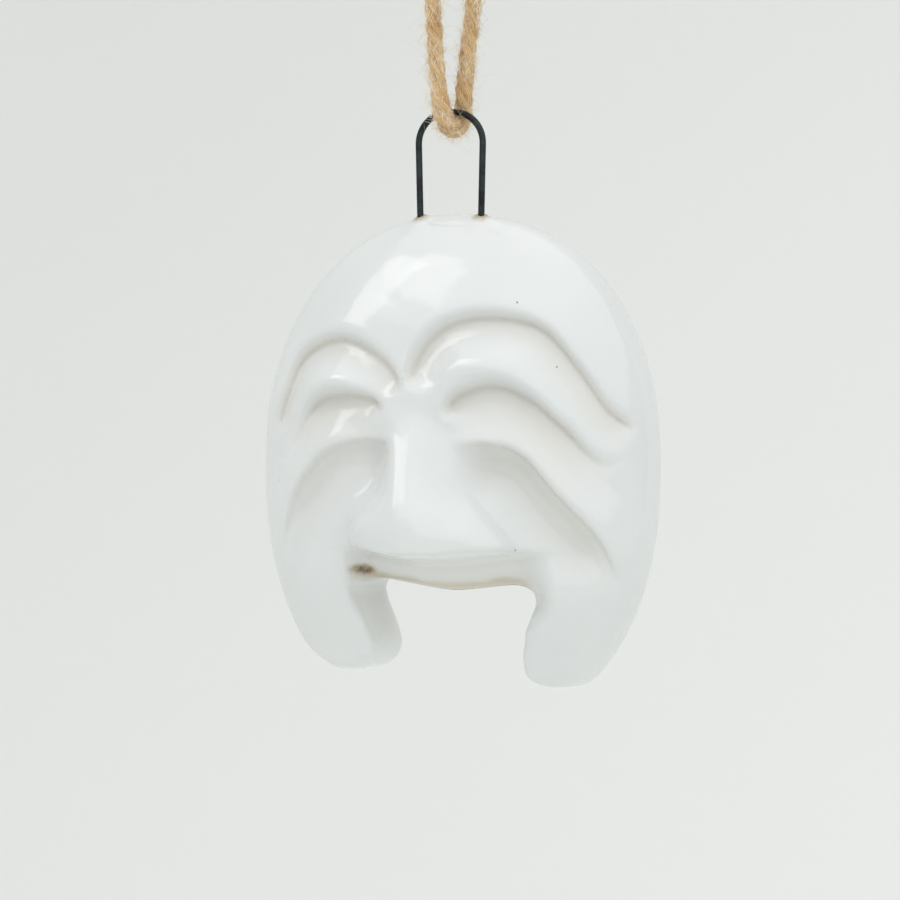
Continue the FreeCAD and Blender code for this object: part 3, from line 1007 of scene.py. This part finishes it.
    def note_glaze(self, mesh: bpy.types.Mesh, places: np.ndarray, normals: np.ndarray,
                   pool_shade: np.ndarray, front: np.ndarray) -> None:
        """Store where glaze pools, thins, stains and stops.

        Args:
            mesh: The sculpted mesh.
            places: Its vertices, in mm.
            normals: Their normals before sculpting.
            pool_shade: Glaze pooling and painted shade from the folds.
            front: 1 on the front surface.
        """
        x, z = places[:, 0], places[:, 2] - self.crown
        in_gap = smooth_share(x, -11.5, -9.5) * smooth_share(-x, -14.0, -12.0)
        thin = in_gap * smooth_share(z, -48.5, -47.0) * smooth_share(-z, 44.0, 45.6)
        thin *= smooth_share(-normals[:, 2], 0.25, 0.8)
        bare = smooth_share(places[:, 1], self.back - self.bare_depth, self.back - 0.05)
        rim_thin = 0.5 * smooth_share(places[:, 1], self.back - self.rim_depth, self.back - 0.3)
        stain = np.zeros(len(x))
        for side in (-1.0, 1.0):
            reach = np.sqrt((x - side * self.wire_half) ** 2 + places[:, 1] ** 2 + (z + 0.4) ** 2)
            stain += self.root_stain * hump(reach, 0.0, self.root_reach)
        spot_x, spot_z = self.lip_stain_at
        stain += self.lip_stain * hump(np.hypot(x - spot_x, (z - spot_z) * 1.6), 0.0, 1.0) * front
        for name, values in (("pool_shade", pool_shade), ("thin", np.maximum(thin, rim_thin)),
                             ("bare", bare), ("stain", stain)):
            layer = mesh.attributes.new(name, "FLOAT", "POINT")
            layer.data.foreach_set("value", np.clip(values, 0.0, 1.4).astype(np.float32))

    def build(self) -> bpy.types.Object:
        """Make the mask and put it in place of its CAD solid.

        Returns:
            The mask.
        """
        mesh = self.blank()
        self.sculpt(mesh)
        mesh.transform(Matrix.Scale(MM, 4))
        piece = piece_from(mesh, "glazed_mask", self.finish.make())
        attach(piece, Body.MASK.value)
        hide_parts("mask_shell")
        return piece


# ---------------------------------------------------------------- wire bow


@dataclass
class WireBow:
    """The bent wire, which keeps its CAD shape and takes a better finish."""

    finish: WireFinish = field(default_factory=WireFinish)

    def build(self) -> bpy.types.Object:
        """Dress the CAD wire.

        Returns:
            The wire.
        """
        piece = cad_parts["wire_bow"]
        piece.data.materials.clear()
        piece.data.materials.append(self.finish.make())
        return piece


# ---------------------------------------------------------------- twine


@dataclass(frozen=True)
class HairBundle:
    """One kind of loose hair: how many, how long, how far it stands off and how it curls."""

    count: int
    length: FlatPoint
    lift: FlatPoint
    curl: float = 0.28
    droop: float = 0.0
    start: float = 0.0
    end: float = 1.0
    thickness: float = 1.0
    steps: int = 6


@dataclass
class Twine:
    """Jute twine: strands laid round a route, with loose hairs, a knot and tails."""

    diameter: float = 2.0
    strands: int = 3
    lay_length: float = 6.4
    hair_radius: float = 0.024
    route_steps: int = 24
    strand_share: float = 0.56
    bore_share: float = 0.46
    strand_spacing: float = 0.16
    hair_spacing: float = 0.3
    bight_swell: float = 0.26
    bight_share: float = 0.11
    route: tuple[Point, ...] = (
        (0.35, 0.00, 1.60),
        (-2.60, -0.50, 1.60),
        (-2.40, -0.60, -4.20),
        (-1.20, -1.48, -16.40),
        (-0.05, -1.90, -22.00),
        (0.95, 1.90, -21.90),
        (1.15, 1.48, -16.80),
        (3.10, 0.60, -4.20),
        (3.30, 0.50, 1.60),
        (0.36, 0.00, 1.60),
    )
    left_tail: tuple[Point, ...] = ((-0.40, 0.30, 2.60), (-1.60, 0.90, 6.20), (-4.00, 1.10, 9.20))
    right_tail: tuple[Point, ...] = ((1.10, -0.30, 2.60), (2.10, -0.80, 6.00), (4.40, -1.60, 8.40))
    loop_hairs: tuple[HairBundle, ...] = (
        HairBundle(760, (1.4, 3.4), (-0.05, 0.16), 0.16, thickness=1.7),
        HairBundle(1150, (0.6, 1.9), (0.15, 0.8), 0.6, thickness=0.8),
        HairBundle(150, (2.0, 5.0), (0.2, 0.7), 0.5, thickness=0.7, steps=9),
        HairBundle(260, (0.8, 2.2), (0.1, 0.6), 0.4, droop=0.2, start=0.42, end=0.58, thickness=1.4),
        HairBundle(9, (8.0, 14.0), (0.3, 0.9), 0.1, droop=0.05, start=0.12, end=0.88, thickness=0.5,
                   steps=14),
    )
    end_hairs: tuple[HairBundle, ...] = (
        HairBundle(60, (1.2, 2.8), (-0.05, 0.2), 0.15, thickness=1.6),
        HairBundle(70, (0.8, 2.6), (0.2, 0.9), 0.35),
    )
    knot_hairs: tuple[HairBundle, ...] = (
        HairBundle(150, (1.2, 2.8), (-0.05, 0.15), 0.2, thickness=1.6),
        HairBundle(130, (0.7, 2.4), (0.2, 0.9), 0.4),
    )
    random_source: random.Random = field(default_factory=lambda: random.Random(11))

    def route_line(self, points: tuple[Point, ...]) -> list[Vector]:
        """Read points along the smooth NURBS line of a route.

        Args:
            points: The route's control points, in mm.

        Returns:
            Points along the line, in mm.
        """
        data = new_curve("route")
        data.resolution_u = self.route_steps
        spline = data.splines.new("NURBS")
        spline.points.add(len(points) - 1)
        for knot, place in zip(spline.points, points):
            knot.co = (*place, 1.0)
        spline.order_u = 3
        spline.use_endpoint_u = True
        mesh = curve_mesh(data)
        line = [vertex.co.copy() for vertex in mesh.vertices]
        bpy.data.meshes.remove(mesh)
        return line

    def even_line(self, line: list[Vector], spacing: float) -> list[Vector]:
        """Respace a line's points evenly.

        Args:
            line: The line's points.
            spacing: Distance between two points.

        Returns:
            Evenly spaced points from end to end.
        """
        lengths = [0.0]
        for before, after in zip(line, line[1:]):
            lengths.append(lengths[-1] + (after - before).length)
        steps = max(2, round(lengths[-1] / spacing))
        targets = np.linspace(0.0, lengths[-1], steps + 1)
        columns = [np.interp(targets, lengths, [p[axis] for p in line]) for axis in range(3)]
        return [Vector(place) for place in zip(*columns)]

    def frames(self, line: list[Vector]) -> list[tuple[Vector, Vector, Vector]]:
        """Two directions across the line at each point, carried along without twist.

        Args:
            line: Evenly spaced points.

        Returns:
            Point, first and second direction for each point.
        """
        tangents = [(after - before).normalized()
                    for before, after in zip([line[0], *line[:-1]], [*line[1:], line[-1]])]
        across = tangents[0].orthogonal().normalized()
        result = []
        for place, tangent in zip(line, tangents):
            across = (across - tangent * across.dot(tangent)).normalized()
            result.append((place, across.copy(), tangent.cross(across)))
        return result

    def strand_mesh(self, name: str, line: list[Vector], start_angle: float,
                    swell: float) -> bpy.types.Mesh:
        """One strand wound round a line.

        Args:
            name: Name for the mesh.
            line: Evenly spaced points, in mm.
            start_angle: Angle of its start.
            swell: Extra thickness halfway, where the twine bends and opens.

        Returns:
            A closed tube, in metres.
        """
        radius = self.diameter / 2
        turns_per_mm = -1.0 / self.lay_length
        bore = radius * self.bore_share
        data = new_curve(name)
        data.bevel_depth = radius * self.strand_share * MM
        data.bevel_resolution = 3
        data.use_fill_caps = True
        spline = data.splines.new("POLY")
        spline.points.add(len(line) - 1)
        travelled = 0.0
        before = line[0]
        for index, (place, first, second) in enumerate(self.frames(line)):
            travelled += (place - before).length
            before = place
            angle = start_angle + 2.0 * math.pi * turns_per_mm * travelled
            off_middle = (index / len(line) - 0.5) / self.bight_share
            grown = 1.0 + swell * math.exp(-off_middle ** 2)
            wobble = grown * bore * (1.0 + self.random_source.uniform(-0.10, 0.10))
            spot = place + (first * math.cos(angle) + second * math.sin(angle)) * wobble
            knot = spline.points[index]
            knot.co = (*(spot * MM), 1.0)
            knot.radius = grown * (1.0 + self.random_source.uniform(-0.07, 0.07))
        return curve_mesh(data)

    def rope(self, name: str, line: list[Vector], material: bpy.types.Material,
             swell: float = 0.0) -> bpy.types.Object:
        """Lay the strands round a line and join them to one piece.

        Args:
            name: The piece's name.
            line: The route's points, in mm.
            material: Its finish.
            swell: Extra thickness halfway along.

        Returns:
            The piece.
        """
        even = self.even_line(line, self.strand_spacing)
        form = bmesh.new()
        for index in range(self.strands):
            angle = 2.0 * math.pi * index / self.strands
            mesh = self.strand_mesh(f"{name}_{index}", even, angle, swell)
            form.from_mesh(mesh)
            bpy.data.meshes.remove(mesh)
        return piece_from(mesh_from(name, form), name, material)

    def hairs(self, name: str, line: list[Vector], material: bpy.types.Material,
              bundles: tuple[HairBundle, ...]) -> bpy.types.Object:
        """Fine fibres that cling to the twine or stand off it.

        Args:
            name: The piece's name.
            line: The route's points, in mm.
            material: Their finish.
            bundles: The kinds of hair and how many of each.

        Returns:
            The piece.
        """
        pick = self.random_source
        frames = self.frames(self.even_line(line, self.hair_spacing))
        data = new_curve(name)
        data.bevel_depth = self.hair_radius * MM
        data.bevel_resolution = 0
        for bundle in bundles:
            for _ in range(bundle.count):
                start = round(bundle.start * (len(frames) - 2)) + 1
                end = round(bundle.end * (len(frames) - 2))
                place, first, second = frames[pick.randint(start, max(start, end))]
                tangent = first.cross(second) * pick.choice((-1.0, 1.0))
                angle = pick.uniform(0.0, 2.0 * math.pi)
                outward = first * math.cos(angle) + second * math.sin(angle)
                around = second * math.cos(angle) - first * math.sin(angle)
                span = pick.uniform(*bundle.length)
                lift = pick.uniform(*bundle.lift)
                heading = (tangent * (1.0 - lift) + outward * lift
                           + around * pick.uniform(-0.6, 0.6)).normalized()
                spot = place + outward * self.diameter * self.bore_share
                bend = (around * pick.uniform(-1, 1) + outward * pick.uniform(-0.9, 0.7)
                        + tangent * pick.uniform(-0.7, 0.7)) * bundle.curl
                bend += Vector((0.0, 0.0, -bundle.droop))
                spline = data.splines.new("POLY")
                spline.points.add(bundle.steps)
                for step, knot in enumerate(spline.points):
                    knot.co = (*(spot * MM), 1.0)
                    knot.radius = bundle.thickness * (1.0 - 0.6 * step / bundle.steps)
                    spot = spot + heading * (span / bundle.steps)
                    heading = (heading + bend).normalized()
        return piece_from(curve_mesh(data), name, material)

    def knot_line(self) -> list[Vector]:
        """The wraps of the knot round the top of the loop.

        Returns:
            Points of a short coil, in mm.
        """
        low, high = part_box("twine_knot")
        width = (high[0] - low[0]) / MM - self.diameter
        middle_x = (high[0] + low[0]) / 2 / MM
        middle_z = (high[2] + low[2]) / 2 / MM
        turns, steps = 2.25, 72
        line = []
        for step in range(steps + 1):
            share = step / steps
            angle = 2.0 * math.pi * turns * share + 0.6
            swell = 1.12 + 0.12 * math.sin(share * math.pi)
            line.append(Vector((middle_x + width * (share - 0.5), swell * math.sin(angle),
                                middle_z + swell * math.cos(angle))))
        return line

    def build(self) -> list[bpy.types.Object]:
        """Make the loop, its hairs, the knot and the tails.

        Returns:
            The twine's pieces.
        """
        strand, hair = JuteFinish().make(), JuteFinish(hair=True).make()
        line = self.route_line(self.route)
        loop = self.rope("twine_loop", line, strand, self.bight_swell)
        fuzz = self.hairs("twine_loop_hairs", line, hair, self.loop_hairs)
        knot_line = self.knot_line()
        left_line = self.route_line(self.left_tail)
        right_line = self.route_line(self.right_tail)
        knot = self.rope("twine_knot_wraps", knot_line, strand)
        left = self.rope("twine_left_end", left_line, strand)
        right = self.rope("twine_right_end", right_line, strand)
        left_fuzz = self.hairs("twine_left_hairs", left_line, hair, self.end_hairs)
        right_fuzz = self.hairs("twine_right_hairs", right_line, hair, self.end_hairs)
        knot_fuzz = self.hairs("twine_knot_hairs", knot_line, hair, self.knot_hairs)
        for piece in (loop, fuzz):
            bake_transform(piece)
        for piece in (knot, left, right, left_fuzz, right_fuzz, knot_fuzz):
            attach(piece, Body.HANGING_END.value)
        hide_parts("twine_legs", "twine_crown")
        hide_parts("twine_knot")
        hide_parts("twine_tail_left")
        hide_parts("twine_tail_right")
        pieces = [loop, fuzz, knot, left, right, left_fuzz, right_fuzz, knot_fuzz]
        return pieces


# ---------------------------------------------------------------- studio


@dataclass(frozen=True)
class Window:
    """A soft box of light: where it stands, its width and height, and its watts."""

    name: str
    place: Point
    size: FlatPoint
    power: float


@dataclass
class Studio:
    """Camera, soft lights and a pale sweep behind the hanging mask."""

    azimuth: float = 22.0
    distance: float = 0.62
    field_width: float = 0.1125
    target: Point = (-0.0001, 0.0, -0.0622)
    sensor: float = 36.0
    daylight_spread: float = 120.0
    daylight_from: Point = (0.4, -0.42, 1.0)
    daylight_strength: float = 1.5
    sky: Point = (0.975, 0.985, 0.975)
    sky_strength: float = 0.51
    floor: float = -0.42
    floor_start: float = -3.0
    bend_start: float = 1.2
    bend_radius: float = 0.8
    wall_top: float = 3.0
    sweep_half: float = 4.0
    # Painted light: the sweep is painted darker on the left and lighter on the right.
    sweep_shaded_left: Point = (0.735, 0.747, 0.732)
    sweep_lit_right: Point = (0.790, 0.802, 0.790)
    sweep_glow: Point = (0.98, 1.0, 0.975)
    sweep_glow_strength: float = 0.04
    windows: tuple[Window, ...] = (
        Window("window_left", (-0.67, -0.45, 0.66), (0.30, 0.46), 0.9),
        Window("window_right", (-0.45, -0.58, 0.78), (0.28, 0.40), 0.5),
    )

    def place_camera(self) -> None:
        """Place the camera."""
        data = bpy.data.cameras.new("camera")
        data.sensor_width = self.sensor
        data.lens = self.sensor * self.distance / self.field_width
        data.clip_start = 0.01
        turn = math.radians(self.azimuth)
        away = Vector((math.sin(turn), -math.cos(turn), 0.0))
        camera = linked("camera", data)
        camera.location = Vector(self.target) + away * self.distance
        camera.rotation_euler = (math.pi / 2, 0.0, turn)
        bpy.context.scene.camera = camera

    def add_window(self, window: Window) -> None:
        """Add a soft box that faces the mask.

        Args:
            window: The soft box.
        """
        data = bpy.data.lights.new(window.name, "AREA")
        data.shape = "RECTANGLE"
        data.size, data.size_y = window.size
        data.energy = window.power
        lamp = linked(window.name, data)
        lamp.location = window.place
        aim = Vector(self.target) - Vector(window.place)
        lamp.rotation_euler = aim.to_track_quat("-Z", "Y").to_euler()

    def add_daylight(self) -> None:
        """Add wide, even light that comes from one side without hard shadows."""
        data = bpy.data.lights.new("daylight", "SUN")
        data.energy = self.daylight_strength
        data.angle = math.radians(self.daylight_spread)
        lamp = linked("daylight", data)
        lamp.rotation_euler = (-Vector(self.daylight_from)).to_track_quat("-Z", "Y").to_euler()

    def add_sweep(self) -> None:
        """Add a pale floor that curves up into the wall behind, painted darker on the left and lighter on
        the right as the light falls.
        """
        form = bmesh.new()
        near, low, bend = self.bend_start, self.floor, self.bend_radius
        profile = [(self.floor_start, low), (near, low)]
        profile += [(near + bend * math.sin(a), low + bend * (1.0 - math.cos(a)))
                    for a in np.linspace(0.1, math.pi / 2, 14)]
        profile += [(near + bend, self.wall_top)]
        verts = [form.verts.new((-self.sweep_half, y, z)) for y, z in profile]
        edges = [form.edges.new(pair) for pair in zip(verts, verts[1:])]
        made = bmesh.ops.extrude_edge_only(form, edges=edges)["geom"]
        pull(form, made, (2.0 * self.sweep_half, 0, 0))
        turn = Matrix.Rotation(math.radians(self.azimuth), 4, "Z")
        bmesh.ops.transform(form, matrix=turn, verts=form.verts)
        recipe = Recipe("pale_sweep")
        recipe.constants(Roughness=0.9, Specular_IOR_Level=0.1)
        sides = recipe.add("ShaderNodeSeparateXYZ")
        recipe.join(recipe.place.outputs["Object"], sides.inputs["Vector"])
        # Painted shade on the left of the sweep, painted light on the right.
        lit_rightward = recipe.scaled(sides.outputs["X"], 0.0, 1.0, -0.9, -0.45)
        shade = recipe.blend(lit_rightward, self.sweep_shaded_left, self.sweep_lit_right)
        recipe.join(shade, recipe.shader.inputs["Base Color"])
        recipe.shader.inputs["Emission Color"].default_value = (*self.sweep_glow, 1.0)
        recipe.constants(Emission_Strength=self.sweep_glow_strength)
        sweep = piece_from(mesh_from("sweep", form), "sweep", recipe.material)

    def build(self) -> None:
        """Set up the whole studio."""
        scene = bpy.context.scene
        scene.view_settings.view_transform = "Standard"
        world = bpy.data.worlds.new("studio")
        scene.world = world
        world.use_nodes = True
        shade = world.node_tree.nodes["Background"]
        shade.inputs["Color"].default_value = (*self.sky, 1.0)
        shade.inputs["Strength"].default_value = self.sky_strength
        for window in self.windows:
            self.add_window(window)
        self.add_daylight()
        self.add_sweep()


def main() -> None:
    """Build the studio and every piece."""
    logging.basicConfig(level=logging.INFO)
    studio = Studio()
    studio.place_camera()
    made = [*Twine().build(), WireBow().build(), MaskShell().build()]
    studio.build()
    for piece in made:
        LOG.info("%s: %d vertices", piece.name, len(piece.data.vertices))


if __name__ == "__main__":
    main()
